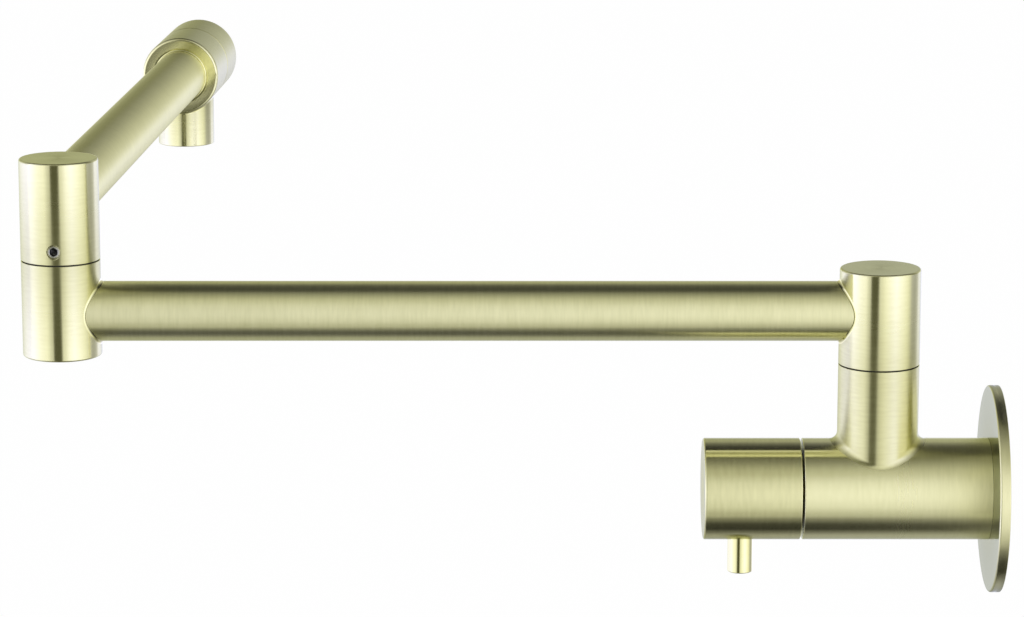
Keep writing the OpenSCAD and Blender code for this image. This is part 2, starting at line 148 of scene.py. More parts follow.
class Wire:
    """A socket of a node tree, so that node maths is written as plain sums."""

    def __init__(self, bench, socket):
        self.bench, self.socket = bench, socket

    def _maths(self, operation, first, second=None):
        sockets = {0: first} if second is None else {0: first, 1: second}
        return self.bench.add("ShaderNodeMath", {"operation": operation}, sockets)

    def __add__(self, other):
        return self._maths("ADD", self, other)

    def __radd__(self, other):
        return self._maths("ADD", other, self)

    def __sub__(self, other):
        return self._maths("SUBTRACT", self, other)

    def __rsub__(self, other):
        return self._maths("SUBTRACT", other, self)

    def __mul__(self, other):
        return self._maths("MULTIPLY", self, other)

    def __rmul__(self, other):
        return self._maths("MULTIPLY", other, self)

    def __truediv__(self, other):
        return self._maths("DIVIDE", self, other)

    def __rtruediv__(self, other):
        return self._maths("DIVIDE", other, self)

    def __neg__(self):
        return self._maths("MULTIPLY", self, -1.0)

    def __abs__(self):
        return self._maths("ABSOLUTE", self)

    def __gt__(self, other):
        return self._maths("GREATER_THAN", self, other)

    def held(self):
        """This number kept between 0 and 1."""
        return self.bench.add("ShaderNodeClamp", {}, {"Value": self})

    def root(self):
        return self._maths("SQRT", self)

    def eased(self, low, high):
        """0 below low, 1 above high and a soft step between them."""
        return self.bench.add(
            "ShaderNodeMapRange", {"interpolation_type": "SMOOTHSTEP"},
            {"Value": self, "From Min": low, "From Max": high})


class Bench:
    """One node tree and the ways that its nodes are added."""

    def __init__(self, tree):
        self.tree = tree

    def add(self, kind, settings=None, sockets=None, output=0):
        """Adds a node: its settings first, then the value or wire of each socket."""
        node = self.tree.nodes.new(kind)
        for name, value in (settings or {}).items():
            if name == "stops":
                self._set_stops(node.color_ramp, value)
            else:
                setattr(node, name, value)
        for key, value in (sockets or {}).items():
            if isinstance(value, Wire):
                self.tree.links.new(value.socket, node.inputs[key])
            else:
                node.inputs[key].default_value = value
        return Wire(self, node.outputs[output]) if len(node.outputs) else node

    @staticmethod
    def _set_stops(ramp, stops):
        while len(ramp.elements) < len(stops):
            ramp.elements.new(1.0)
        for element, (position, colour) in zip(ramp.elements, stops):
            element.position, element.color = position, (*colour, 1.0)

    def outlets(self, kind, *names, sockets=None):
        """A node without settings, as a wire from each of its named outputs."""
        node = self.add(kind, {}, sockets).socket.node
        return [Wire(self, node.outputs[name]) for name in names]

    def parts(self, vector):
        """The three numbers of a vector."""
        return self.outlets("ShaderNodeSeparateXYZ", "X", "Y", "Z", sockets={"Vector": vector})

    def vector(self, x, y, z):
        return self.add("ShaderNodeCombineXYZ", {}, {"X": x, "Y": y, "Z": z})

    def blended(self, share, first, second, way="MIX"):
        """Two colours mixed by a share. The node has other sockets named A and B, so these go by number."""
        return self.add(
            "ShaderNodeMix", {"data_type": "RGBA", "blend_type": way},
            {"Factor": share, 6: self.colour(first), 7: self.colour(second)}, output=2)

    @staticmethod
    def colour(value):
        return value if isinstance(value, Wire) else (*value, 1.0)

    def noise(self, vector, scale, detail):
        return self.add("ShaderNodeTexNoise", {}, {"Vector": vector, "Scale": scale, "Detail": detail})

    def bump(self, strength, depth, height):
        return self.add("ShaderNodeBump", {}, {"Strength": strength, "Distance": depth, "Height": height})


def surface(name):
    """A new material, its bench and its main shader."""
    material = bpy.data.materials.new(name)
    material.use_nodes = True
    bench = Bench(material.node_tree)
    shader = next(n for n in material.node_tree.nodes if n.type == "BSDF_PRINCIPLED")
    return material, bench, shader


def emptied(owner):
    """The bench of a material or a world whose own nodes are taken out."""
    owner.use_nodes = True
    owner.node_tree.nodes.clear()
    return Bench(owner.node_tree)


def feed(bench, shader, **sockets):
    """Sets or links the sockets of a main shader by name."""
    for name, value in sockets.items():
        socket = shader.inputs[name.replace("_", " ")]
        if isinstance(value, Wire):
            bench.tree.links.new(value.socket, socket)
        else:
            socket.default_value = value


def in_metres(frame):
    scaled = frame.copy()
    scaled.translation *= MM
    return scaled


def own_coordinates(bench, frame):
    """Coordinates of a piece about its own axis, in metres."""
    back = in_metres(frame).inverted()
    return bench.add(
        "ShaderNodeMapping", {"vector_type": "POINT"},
        {
            "Vector": bench.add("ShaderNodeTexCoord", output="Object"),
            "Location": tuple(back.translation),
            "Rotation": tuple(back.to_euler()),
        })


# Brushed tones from the dark lines to the light ones, plain tones, and tints at a glancing angle
# One brass throughout, with a darker pair of tones on the hubs, flange and knobs and a lighter pair on the
# bars: painted shade and painted light for how light falls on each piece
HUB_SHADED_BRASS = ((0.74, 0.72, 0.43), (0.88, 0.865, 0.55))
FLANGE_SHADED_BRASS = ((0.67, 0.65, 0.38), (0.80, 0.78, 0.48))
BAR_LIT_BRASS = ((0.87, 0.855, 0.51), (0.99, 0.97, 0.615))
KNOB_SHADED_BRASS = ((0.62, 0.60, 0.28), (0.88, 0.86, 0.46))
BRASS = (0.83, 0.82, 0.51)
BRASS_BRIGHT = (0.88, 0.86, 0.58)
EDGE_TINT = (0.68, 0.70, 0.60, 1.0)
# The flange's own grey-blue glancing tint is a painted reflection of the light around it
FLANGE_REFLECTION_TINT = (0.62, 0.65, 0.66, 1.0)


def axis_of(frame):
    return frame.to_3x3().col[2]


def is_upright(frame):
    return abs(axis_of(frame).z) > 0.5


def turning_marks(bench, spot, across, along, detail):
    """Noise drawn out round a piece's axis, from its scale across the axis and its scale along it."""
    x, y, z = bench.parts(spot)
    run = z + (x * x + y * y).root()
    return bench.noise(bench.vector(x * across, y * across, run * along), 1.0, detail)


def brushed_brass(name, frame, tones=HUB_SHADED_BRASS, tint=EDGE_TINT):
    """Pale brass brushed round its own axis: hair lines, broader strokes, clouds and bright worn edges.

    Its gloss spreads along the axis, across the brush lines, and stays narrow round it. Faces square to the
    axis are turned smoother.
    """
    material, bench, shader = surface(name)
    spot = own_coordinates(bench, frame)
    hair = turning_marks(bench, spot, 150, 1000, 1.0)
    stroke = turning_marks(bench, spot, 25, 240, 2.0)
    cloud = bench.noise(spot, 28.0, 2.0)
    edge = bench.add("ShaderNodeAttribute", {"attribute_name": "edge"}, output="Fac")
    facing = bench.add("ShaderNodeVectorMath", {"operation": "DOT_PRODUCT"}, {
        0: bench.add("ShaderNodeTexCoord", output="Normal"), 1: tuple(axis_of(frame))}, output="Value")
    end_face = abs(facing).eased(0.9, 0.99)
    # The pair of tones differs from piece to piece as painted shade and painted light
    tone = bench.blended((hair * 1.2 + stroke * 0.3 + cloud * 0.4 - 0.45).held(), *tones)
    tone = bench.blended(edge * 0.6, tone, BRASS_BRIGHT)
    normal = bench.bump(0.12, 0.00004, stroke + cloud * 0.5)
    feed(bench, shader, Base_Color=tone, Metallic=1.0, Normal=normal, Specular_Tint=tint,
         Roughness=(hair * 0.05 + cloud * 0.04 + 0.295) * (1 - edge * 0.4) * (1 - end_face * 0.5),
         Anisotropic=0.97, Anisotropic_Rotation=0.25 if is_upright(frame) else 0.0)
    return material


def lay_grain(piece, frame):
    """Lays the gloss of a level piece along its axis, by a texture space that is very long that way.

    The shader takes its direction from that space, which suits an upright piece as it is.
    """
    if is_upright(frame):
        return
    long, short = 1000, 0.05
    points = [vertex.co for vertex in piece.data.vertices]
    middle = [(min(p[i] for p in points) + max(p[i] for p in points)) / 2 for i in range(3)]
    piece.data.use_auto_texspace = False
    piece.data.texspace_location = middle
    piece.data.texspace_size = (long, short, short) if abs(axis_of(frame).x) > 0.5 else (short, long, short)


def polished_brass(name, frame):
    """Brass left bright from turning, with fine rings and a few hazy patches."""
    material, bench, shader = surface(name)
    spot = own_coordinates(bench, frame)
    ring = turning_marks(bench, spot, 40, 2400, 2.0)
    haze = bench.noise(spot, 160.0, 3.0)
    tone = bench.blended((haze * 1.4 - 0.2).held(), BRASS, (0.84, 0.80, 0.42))
    normal = bench.bump(0.2, 0.00002, ring)
    feed(bench, shader, Base_Color=tone, Metallic=1.0, Roughness=haze * 0.1 + 0.06, Normal=normal)
    return material


def raw_brass():
    """Machined brass of the inner parts, duller and yellower than the outside."""
    material, bench, shader = surface("machined_brass")
    spot = bench.add("ShaderNodeTexCoord", output="Object")
    fine = bench.noise(spot, 1800.0, 2.0)
    haze = bench.noise(spot, 90.0, 3.0)
    tone = bench.blended((haze * 1.5 - 0.25).held(), (0.66, 0.52, 0.22), (0.80, 0.68, 0.34))
    normal = bench.bump(0.25, 0.00003, fine)
    feed(bench, shader, Base_Color=tone, Metallic=1.0, Roughness=haze * 0.15 + 0.22, Normal=normal)
    return material


def stainless(name, frame):
    """Stainless steel of the grub screws, turned, with a cloudy film, and painted shade in its hex socket,
    which is coloured nearly black.
    """
    material, bench, shader = surface(name)
    spot = own_coordinates(bench, frame)
    ring = turning_marks(bench, spot, 300, 5000, 2.0)
    film = bench.noise(spot, 700.0, 3.0)
    # Here the edge attribute marks the hex socket, which is painted nearly black as painted shade
    hollow = bench.add("ShaderNodeAttribute", {"attribute_name": "edge"}, output="Fac")
    tone = bench.blended((film * 1.4 - 0.2).held(), (0.62, 0.62, 0.60), (0.80, 0.80, 0.78))
    tone = bench.blended(hollow * (film * 0.4 + 0.8).held(), tone, (0.03, 0.03, 0.03))
    normal = bench.bump(0.2, 0.00002, ring)
    feed(bench, shader, Base_Color=tone, Metallic=1.0, Roughness=film * 0.2 + 0.2, Normal=normal)
    return material


def rubber():
    """Black sealing rubber with a fine dusty grain."""
    material, bench, shader = surface("black_sealing_rubber")
    spot = bench.add("ShaderNodeTexCoord", output="Object")
    grain = bench.noise(spot, 2600.0, 3.0)
    dust = bench.noise(spot, 220.0, 3.0)
    tone = bench.blended((dust * 1.6 - 0.4).held(), (0.012, 0.012, 0.013), (0.035, 0.034, 0.033))
    normal = bench.bump(0.35, 0.00005, grain)
    feed(bench, shader, Base_Color=tone, Roughness=dust * 0.25 + 0.45, Normal=normal)
    return material


def plastic():
    """White moulded plastic of the aerator's screen, a little yellowed in places."""
    material, bench, shader = surface("white_moulded_plastic")
    spot = bench.add("ShaderNodeTexCoord", output="Object")
    grain = bench.noise(spot, 1500.0, 2.0)
    age = bench.noise(spot, 130.0, 2.0)
    tone = bench.blended((age * 1.4 - 0.2).held(), (0.80, 0.80, 0.77), (0.74, 0.73, 0.67))
    normal = bench.bump(0.15, 0.00004, grain)
    feed(bench, shader, Base_Color=tone, Roughness=grain * 0.15 + 0.32, Normal=normal)
    return material


def ceramic():
    """Lapped ceramic of the valve discs: off-white, nearly a mirror, with faint pores."""
    material, bench, shader = surface("lapped_ceramic")
    spot = bench.add("ShaderNodeTexCoord", output="Object")
    pores = bench.noise(spot, 3000.0, 2.0).eased(0.62, 0.7)
    cloud = bench.noise(spot, 200.0, 2.0)
    tone = bench.blended(cloud.held(), (0.84, 0.83, 0.79), (0.78, 0.77, 0.74))
    tone = bench.blended(pores * 0.4, tone, (0.5, 0.49, 0.46))
    feed(bench, shader, Base_Color=tone, Roughness=pores * 0.3 + 0.1)
    return material


def rounded(outline):
    """Rounds the corners of an outline of (radius, height, edge) points with its metal on the left.

    An edge of None is as round as its neighbours allow. Gives (radius, height) points, outward normals, 1 on
    the outer worn edges, and whether the outline is open, as it is where it starts and ends on the axis.
    """
    count = len(outline)
    flat = [np.array(p[:2], float) for p in outline]
    edges = [p[2] if len(p) > 2 else EDGE for p in outline]
    is_open = flat[0][0] == 0
    points, normals, wear_and_shade = [], [], []

    def right_of(d):
        return np.array([d[1], -d[0]])

    for i in range(count):
        here = flat[i]
        if is_open and i in (0, count - 1):
            along = flat[1] - flat[0] if i == 0 else flat[-1] - flat[-2]
            points.append(here)
            normals.append(right_of(along / np.linalg.norm(along)))
            wear_and_shade.append(0.0)
            continue
        before, after = here - flat[i - 1], flat[(i + 1) % count] - here
        room = min(np.linalg.norm(before), np.linalg.norm(after)) * 0.49
        before, after = before / np.linalg.norm(before), after / np.linalg.norm(after)
        turn = math.atan2(before[0] * after[1] - before[1] * after[0], before @ after)
        if abs(turn) < 1e-6:
            continue
        lead = math.tan(abs(turn) / 2)
        edge = room / lead if edges[i] is None else min(edges[i], room / lead)
        start = here - before * edge * lead
        sign = 1 if turn > 0 else -1
        centre = start - right_of(before) * edge * sign
        angle = math.atan2(before[1], before[0])
        steps = 5 if edge > WORN_EDGE else 2
        for k in range(steps + 1):
            a = angle + turn * k / steps
            normal = right_of(np.array([math.cos(a), math.sin(a)]))
            points.append(centre + normal * edge * sign)
            normals.append(normal)
            wear_and_shade.append(1.0 if sign > 0 and edges[i] is not None and edge > WORN_EDGE else 0.0)
    return np.array(points), np.array(normals), np.array(wear_and_shade), is_open


def as_mesh(name, frame, points, faces, normals=None, wear_and_shade=None):
    """A closed mesh from a frame's points in millimetres, turned outside out, with normals where given."""
    turn = np.array(frame.to_3x3())
    points = (np.array(points) @ turn.T + np.array(frame.translation)) * MM
    mesh = bpy.data.meshes.new(name)
    if signed_volume(points, faces) < 0:
        faces = [tuple(reversed(f)) for f in faces]
    mesh.from_pydata([tuple(p) for p in points], [], faces)
    mesh.validate()
    mesh.polygons.foreach_set("use_smooth", [True] * len(mesh.polygons))
    if wear_and_shade is not None:
        # The edge attribute holds the worn outer edges of turned pieces and the painted shade of a grub
        # screw's hex socket
        mesh.attributes.new("edge", "FLOAT", "POINT").data.foreach_set("value", np.asarray(wear_and_shade, np.float32))
    if normals is not None:
        mesh.normals_split_custom_set_from_vertices([tuple(n) for n in np.array(normals) @ turn.T])
    mesh.update()
    return mesh


def signed_volume(points, faces):
    """Six times the volume inside the faces, below 0 where they point inwards."""
    total = 0.0
    for face in faces:
        a = points[face[0]]
        for i in range(1, len(face) - 1):
            total += a @ np.cross(points[face[i]], points[face[i + 1]])
    return total


def as_piece(name, mesh):
    """An object at the origin that holds a mesh."""
    piece = bpy.data.objects.new(name, mesh)
    bpy.context.scene.collection.objects.link(piece)
    return piece


def settled(piece):
    """Puts what a piece's modifiers make in the place of its mesh, and gives that mesh."""
    mesh = bpy.data.meshes.new_from_object(piece.evaluated_get(bpy.context.evaluated_depsgraph_get()))
    piece.modifiers.clear()
    piece.data = mesh
    return mesh


def turned(name, outline, frame, around=144):
    """A turned piece: an outline spun round the frame's axis."""
    rings, ring_normals, wear_and_shade, is_open = rounded(outline)
    angles = np.arange(around) * 2 * math.pi / around
    cos, sin = np.cos(angles), np.sin(angles)
    points, normals, edge, faces, first = [], [], [], [], []
    for (r, z), (nr, nz), w in zip(rings, ring_normals, wear_and_shade):
        first.append(len(points))
        for c, s in [(1.0, 0.0)] if r == 0 else zip(cos, sin):
            points.append((r * c, r * s, z))
            normals.append((nr * c, nr * s, nz))
            edge.append(w)
    last = len(rings) - 1
    for k in range(last if is_open else last + 1):
        low, high = first[k], first[(k + 1) % len(rings)]
        for i in range(around):
            j = (i + 1) % around
            if is_open and k == 0:
                faces.append((low, high + j, high + i))
            elif is_open and k == last - 1:
                faces.append((low + i, low + j, high))
            else:
                faces.append((low + i, low + j, high + j, high + i))
    return as_piece(name, as_mesh(name, frame, points, faces, normals, edge))


def tee_fillet(name, stem_d, main_d, ball_r, frame):
    """The fillet that a ball leaves round a stem (the frame's +Z) that stands on a bar (the frame's +X)."""
    around, steps, hidden = 160, 14, 0.35
    r, big = stem_d / 2, main_d / 2
    points, normals, faces = [], [], []

    def corner(radius, bar, t):
        return np.array([
            radius * math.cos(t), radius * math.sin(t),
            math.sqrt(bar * bar - (radius * math.sin(t)) ** 2)])

    for i in range(around):
        t = 2 * math.pi * i / around
        ball = corner(r + ball_r, big + ball_r, t)
        on_stem = np.array([r * math.cos(t), r * math.sin(t), ball[2]])
        on_bar = np.array([ball[0], ball[1] * big / (big + ball_r), ball[2] * big / (big + ball_r)])
        u, v = on_stem - ball, on_bar - ball
        w = math.acos(np.clip(u @ v / ball_r ** 2, -1, 1))
        for k in range(steps + 1):
            spoke = (math.sin((1 - k / steps) * w) * u + math.sin(k / steps * w) * v) / math.sin(w)
            points.append(ball + spoke)
            normals.append(-spoke / np.linalg.norm(spoke))
        under = np.array([on_bar[0], *(on_bar[1:] * (big - hidden) / big)])
        deep = corner(r - hidden, big - hidden, t)
        inside = np.array([(r - hidden) * math.cos(t), (r - hidden) * math.sin(t), ball[2]])
        for p in (under, deep, inside):
            points.append(p)
            normals.append(np.array([-math.cos(t), -math.sin(t), 0]))
    sides = steps + 4
    for i in range(around):
        for k in range(sides):
            a, b = i * sides, (i + 1) % around * sides
            faces.append((a + k, b + k, b + (k + 1) % sides, a + (k + 1) % sides))
    return as_piece(name, as_mesh(name, frame, points, faces, normals))


def corners_of(mesh, frame):
    """The face's direction and the place in the frame, for each corner of a mesh."""
    turn, origin = np.array(frame.to_3x3()), np.array(frame.translation)
    for face in mesh.polygons:
        facing = np.array(face.normal)
        for vertex in face.vertices:
            yield facing, (np.array(mesh.vertices[vertex].co) / MM - origin) @ turn


def cut(piece, cutter, outline, frame):
    """Takes a cutter out of a turned piece, and gives what stays of the turned faces their true normals."""
    modifier = piece.modifiers.new("cut", "BOOLEAN")
    modifier.operation, modifier.solver, modifier.object = "DIFFERENCE", "EXACT", cutter
    mesh = settled(piece)
    bpy.data.objects.remove(cutter)
    rings, ring_normals, _, is_open = rounded(outline)
    if not is_open:
        rings, ring_normals = np.vstack([rings, rings[:1]]), np.vstack([ring_normals, ring_normals[:1]])
    turn = np.array(frame.to_3x3())
    corners = []
    for facing, local in corners_of(mesh, frame):
        normal = turn @ turned_normal(local, rings, ring_normals)
        corners.append(tuple(normal if normal @ facing > SAME_WAY else facing))
    mesh.normals_split_custom_set(corners)


def turned_normal(local, rings, ring_normals):
    """The normal of the turned surface nearest to a point of its frame."""
    spot = np.array([math.hypot(local[0], local[1]), local[2]])
    start, step = rings[:-1], rings[1:] - rings[:-1]
    share = np.clip(((spot - start) * step).sum(1) / np.maximum((step * step).sum(1), 1e-12), 0, 1)
    k = int(np.argmin(((start + share[:, None] * step - spot) ** 2).sum(1)))
    nr, nz = ring_normals[k] * (1 - share[k]) + ring_normals[k + 1] * share[k]
    flat = np.array([local[0], local[1]]) / max(spot[0], 1e-9)
    normal = np.array([nr * flat[0], nr * flat[1], nz])
    return normal / np.linalg.norm(normal)


def round_about(mesh, frame):
    """Gives the faces that run round an axis the normals of true cylinders."""
    turn = np.array(frame.to_3x3())
    corners = []
    for facing, local in corners_of(mesh, frame):
        out = turn @ np.array([local[0], local[1], 0]) / max(math.hypot(local[0], local[1]), 1e-9)
        side = out @ facing
        corners.append(tuple(out * math.copysign(1, side) if abs(side) > SAME_WAY else facing))
    mesh.polygons.foreach_set("use_smooth", [True] * len(mesh.polygons))
    mesh.normals_split_custom_set(corners)


def new_tree(name, inputs):
    """A geometry tree with named inputs, its bench and a wire for each input."""
    tree = bpy.data.node_groups.new(name, "GeometryNodeTree")
    tree.interface.new_socket("Geometry", in_out="OUTPUT", socket_type="NodeSocketGeometry")
    for label, kind in inputs.items():
        tree.interface.new_socket(label, in_out="INPUT", socket_type="NodeSocket" + kind)
    bench = Bench(tree)
    return tree, bench, dict(zip(inputs, bench.outlets("NodeGroupInput", *inputs)))


def circle(bench, resolution, radius):
    return bench.add("GeometryNodeCurvePrimitiveCircle", {}, {"Resolution": resolution, "Radius": radius})


def sweep(bench, path, section, capped=False):
    """A section swept along a path."""
    return bench.add("GeometryNodeCurveToMesh", {}, {
        "Curve": path, "Profile Curve": section, "Fill Caps": capped})


def lifted(bench, geometry, height):
    return bench.add("GeometryNodeTransform", {}, {
        "Geometry": geometry, "Translation": bench.vector(0.0, 0.0, height)})


def close_tree(bench, geometry, material):
    """Ends a geometry tree in real geometry with its material."""
    real = bench.add("GeometryNodeRealizeInstances", {}, {"Geometry": geometry})
    smooth = bench.add("GeometryNodeSetShadeSmooth", {}, {"Geometry": real})
    dressed = bench.add("GeometryNodeSetMaterial", {}, {"Geometry": smooth, "Material": material})
    bench.add("NodeGroupOutput", {}, {"Geometry": dressed})


def grown(name, tree, values, frame, wall=None):
    """Runs a geometry tree with its values, and leaves its result as the piece's plain mesh."""
    piece = as_piece(name, bpy.data.meshes.new(name))
    modifier = piece.modifiers.new("grow", "NODES")
    modifier.node_group = tree
    for item in tree.interface.items_tree:
        if item.in_out == "INPUT":
            modifier[item.identifier] = values[item.name]
    if wall is not None:
        shell = piece.modifiers.new("wall", "SOLIDIFY")
        shell.thickness, shell.offset = wall * MM, -1.0
    settled(piece).transform(in_metres(frame))
    return piece


def tube_tree():
    """A tube swept along a straight arm."""
    tree, bench, given = new_tree("swept_tube", {
        "Start": "Float", "End": "Float", "Radius": "Float", "Sides": "Int", "Material": "Material"})
    path = bench.add("GeometryNodeCurvePrimitiveLine", {}, {
        "Start": bench.vector(0.0, 0.0, given["Start"]), "End": bench.vector(0.0, 0.0, given["End"])})
    path = bench.add("GeometryNodeResampleCurve", {}, {"Curve": path, "Count": 24})
    swept = sweep(bench, path, circle(bench, given["Sides"], given["Radius"]))
    close_tree(bench, swept, given["Material"])
    return tree


def o_ring_tree():
    """Some equal O-rings, one above the other."""
    tree, bench, given = new_tree("stacked_o_rings", {
        "Middle Radius": "Float", "Thickness": "Float", "Low": "Float", "Apart": "Float",
        "Count": "Int", "Material": "Material"})
    ring = sweep(bench, circle(bench, 96, given["Middle Radius"]), circle(bench, 16, given["Thickness"] / 2))
    seats = bench.add("GeometryNodeMeshLine", {"mode": "OFFSET"}, {
        "Count": given["Count"],
        "Start Location": bench.vector(0.0, 0.0, given["Low"]),
        "Offset": bench.vector(0.0, 0.0, given["Apart"])})
    rings = bench.add("GeometryNodeInstanceOnPoints", {}, {"Points": seats, "Instance": ring})
    close_tree(bench, rings, given["Material"])
    return tree


def thread_tree():
    """The ridge of an inner thread, swept along its helix with its crest inwards."""
    tree, bench, given = new_tree("thread_ridge", {
        "Radius": "Float", "Ridge": "Float", "Turns": "Float", "Height": "Float",
        "Start": "Float", "Material": "Material"})
    helix = bench.add("GeometryNodeCurveSpiral", {}, {
        "Resolution": 64, "Rotations": given["Turns"], "Start Radius": given["Radius"],
        "End Radius": given["Radius"], "Height": given["Height"]})
    helix = bench.add("GeometryNodeSetCurveNormal", {"mode": "Z_UP"}, {"Curve": helix})
    ridge = sweep(bench, helix, circle(bench, 3, given["Ridge"]), capped=True)
    close_tree(bench, lifted(bench, ridge, given["Start"]), given["Material"])
    return tree


def honeycomb_tree():
    """A screen of six-sided cells in staggered rows, inside a plain rim."""
    tree, bench, given = new_tree("honeycomb", {
        "Cell": "Float", "Web": "Float", "Height": "Float", "Radius": "Float",
        "Start": "Float", "Material": "Material"})
    steps, sixth = 8, math.radians(60)
    pitch = given["Cell"] + given["Web"]
    row = pitch * math.sin(sixth)
    grid = bench.add("GeometryNodeMeshGrid", {}, {
        "Size X": pitch * steps, "Size Y": row * steps, "Vertices X": steps + 1, "Vertices Y": steps + 1})
    spot = bench.add("GeometryNodeInputPosition")
    _, y, _ = bench.parts(spot)
    odd = bench.add("ShaderNodeMath", {"operation": "PINGPONG"}, {0: y / row, 1: 1.0})
    grid = bench.add("GeometryNodeSetPosition", {}, {
        "Geometry": grid, "Offset": bench.vector(odd * pitch / 2, 0.0, 0.0)})
    reach = bench.add("ShaderNodeVectorMath", {"operation": "LENGTH"}, {0: spot}, output="Value")
    grid = bench.add("GeometryNodeDeleteGeometry", {"domain": "POINT"}, {
        "Geometry": grid, "Selection": reach > given["Radius"] - pitch * 0.6})

    def wall(width):
        return bench.add("GeometryNodeCurvePrimitiveQuadrilateral", {}, {
            "Width": width, "Height": given["Height"]})

    cell_path = circle(bench, 6, (pitch - given["Web"] / 2) / (2 * math.cos(sixth / 2)))
    cell = sweep(bench, cell_path, wall(given["Web"] / 2))
    cell = bench.add("GeometryNodeTransform", {}, {"Geometry": cell, "Rotation": (0.0, 0.0, sixth / 2)})
    cells = bench.add("GeometryNodeInstanceOnPoints", {}, {"Points": grid, "Instance": cell})
    rim = sweep(bench, circle(bench, 72, given["Radius"] - given["Web"]), wall(given["Web"] * 2))
    both = bench.add("GeometryNodeJoinGeometry", {}, {"Geometry": cells})
    bench.tree.links.new(rim.socket, both.socket.node.inputs[0])
    close_tree(bench, lifted(bench, both, given["Start"] + given["Height"] / 2), given["Material"])
    return tree


def finish_piece(piece, body, slot, material, *nodes):
    """Gives a piece its material and its body, and hides the nodes it stands for. The slot is not used."""
    if material is not None:
        piece.data.materials.clear()
        piece.data.materials.append(material)
    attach(piece, body)
    if nodes:
        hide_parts(*nodes)


def brush(piece, body, node, frame, tones=HUB_SHADED_BRASS):
    """Finishes a piece in brass brushed round the frame's axis."""
    lay_grain(piece, frame)
    finish_piece(piece, body, "brushed_brass", brushed_brass(piece.name + "_brass", frame, tones), node)


def polish(piece, body, node, frame):
    """Finishes a piece in brass left bright from turning round the frame's axis."""
    finish_piece(piece, body, "brushed_brass", polished_brass(piece.name + "_brass", frame), node)


def spigot_outline(seam):
    """The outside of a spigot above its seam: two ring grooves with the grub screw's groove between them."""
    r = SPIGOT_D / 2
    ring_groove, dog_groove = (RING_T + 0.3, RING_T + 0.1), (DOG_GROOVE_W, DOG_GROOVE_DEEP)
    points = [(r, seam)]
    for up, (width, depth) in (
            (LOW_RING_UP, ring_groove), (GRUB_UP, dog_groove), (HIGH_RING_UP, ring_groove)):
        low, high = seam + up - width / 2, seam + up + width / 2
        points += [(r, low), (r - depth, low), (r - depth, high), (r, high)]
    return points + [(r, seam + SPIGOT_H, 0.4)]


def valve_room(mouth, seat):
    """The inside of a valve from its mouth: room for the cartridge's hexagon, the cartridge and its feed."""
    hex_floor = mouth - HEX_DEEP
    return [
        (HEX_ROOM_D / 2, mouth), (HEX_ROOM_D / 2, hex_floor), (CARTRIDGE_D / 2, hex_floor),
        (CARTRIDGE_D / 2, seat), (FEED_D / 2, seat)]


def stem_foot(stem_d, main_d):
    """The height at which a stem's sides meet a bar, a little inside it."""
    return math.sqrt((main_d / 2) ** 2 - (stem_d / 2) ** 2) - SUNK


def hub_outline(diameter, seam, top):
    """An upper hub: a closed cup over the spigot."""
    low, shoulder = seam + SEAM_GAP, seam + SPIGOT_H + 0.3
    bore, hollow = SPIGOT_D / 2 + FIT, HUB_HOLLOW_D / 2
    return [
        (0, top - HUB_END), (hollow, top - HUB_END), (hollow, shoulder), (bore, shoulder), (bore, low),
        (diameter / 2, low, SEAM_EDGE), (diameter / 2, top, 0.8), (0, top)]


def hole_cutter(frame, radius, low, high, sink):
    """A cutter for a round hole with a small countersink at its mouth."""
    above = high + 2
    return turned("hole_cutter", [
        (0, low), (radius, low), (radius, high - sink), (radius + 1.5 * sink, high + 0.5 * sink),
        (radius + 1.5 * sink, above), (0, above)], frame, 64)


def hub(name, node, body, frame, diameter, seam, top, towards):
    """An upper hub with the grub screw's hole on the side away from its tube."""
    outline = hub_outline(diameter, seam, top)
    piece = turned(name, outline, frame)
    side = place(frame.translation + UP * (seam + GRUB_UP), towards)
    cutter = hole_cutter(side, GRUB_D / 2 + FIT, SPIGOT_D / 2 + 0.3, diameter / 2, 0.3)
    cut(piece, cutter, outline, frame)
    brush(piece, body, node, frame)


def grub_screw(name, node, body, frame, diameter, seam, towards):
    """A grub screw with a chamfered face, a hexagon socket and a dog point."""
    frame = place(frame.translation + UP * (seam + GRUB_UP), towards)
    around, sixth = 48, math.radians(60)
    angles = [2 * math.pi * i / around for i in range(around)]
    r, face, key = GRUB_D / 2, diameter / 2 - GRUB_SUNK, GRUB_D * 0.27 / math.cos(sixth / 2)
    dog_r, dog_end, shoulder = 1.65, SPIGOT_D / 2 - 0.7, SPIGOT_D / 2 + 0.4

    def ring(radius, height):
        return [(radius * math.cos(a), radius * math.sin(a), height) for a in angles]

    def six_sided(across, height):
        reach = [across * math.cos(sixth / 2) / math.cos(a % sixth - sixth / 2) for a in angles]
        return [(d * math.cos(a), d * math.sin(a), height) for d, a in zip(reach, angles)]

    rings = [
        ring(dog_r - 0.05, dog_end), ring(dog_r, dog_end + 0.1), ring(dog_r, shoulder),
        ring(r - 0.4, shoulder), ring(r, shoulder + 0.4), ring(r, face - 0.45),
        ring(r - 0.12, face - 0.2), ring(r - 0.45, face), ring(key + 0.25, face),
        six_sided(key + 0.04, face - 0.12), six_sided(key, face - 0.3), six_sided(key, face - 2.0)]
    points = [(0, 0, dog_end)] + [p for one in rings for p in one] + [(0, 0, face - 2.5)]
    # The hex socket's points are marked so that the steel paints them nearly black, as painted shade
    in_key = len(points) - 1 - 3 * around
    hollow = [1.0 if i >= in_key else 0.0 for i in range(len(points))]
    end = 1 + (len(rings) - 1) * around
    faces = []
    for i in range(around):
        j = (i + 1) % around
        for a in range(1, end, around):
            faces.append((a + i, a + j, a + around + j, a + around + i))
        faces.append((0, 1 + j, 1 + i))
        faces.append((end + i, end + j, len(points) - 1))
    mesh = as_mesh(name, frame, points, faces, wear_and_shade=hollow)
    round_about(mesh, frame)
    finish_piece(as_piece(name, mesh), body, "stainless_steel", stainless(name + "_steel", frame), node)


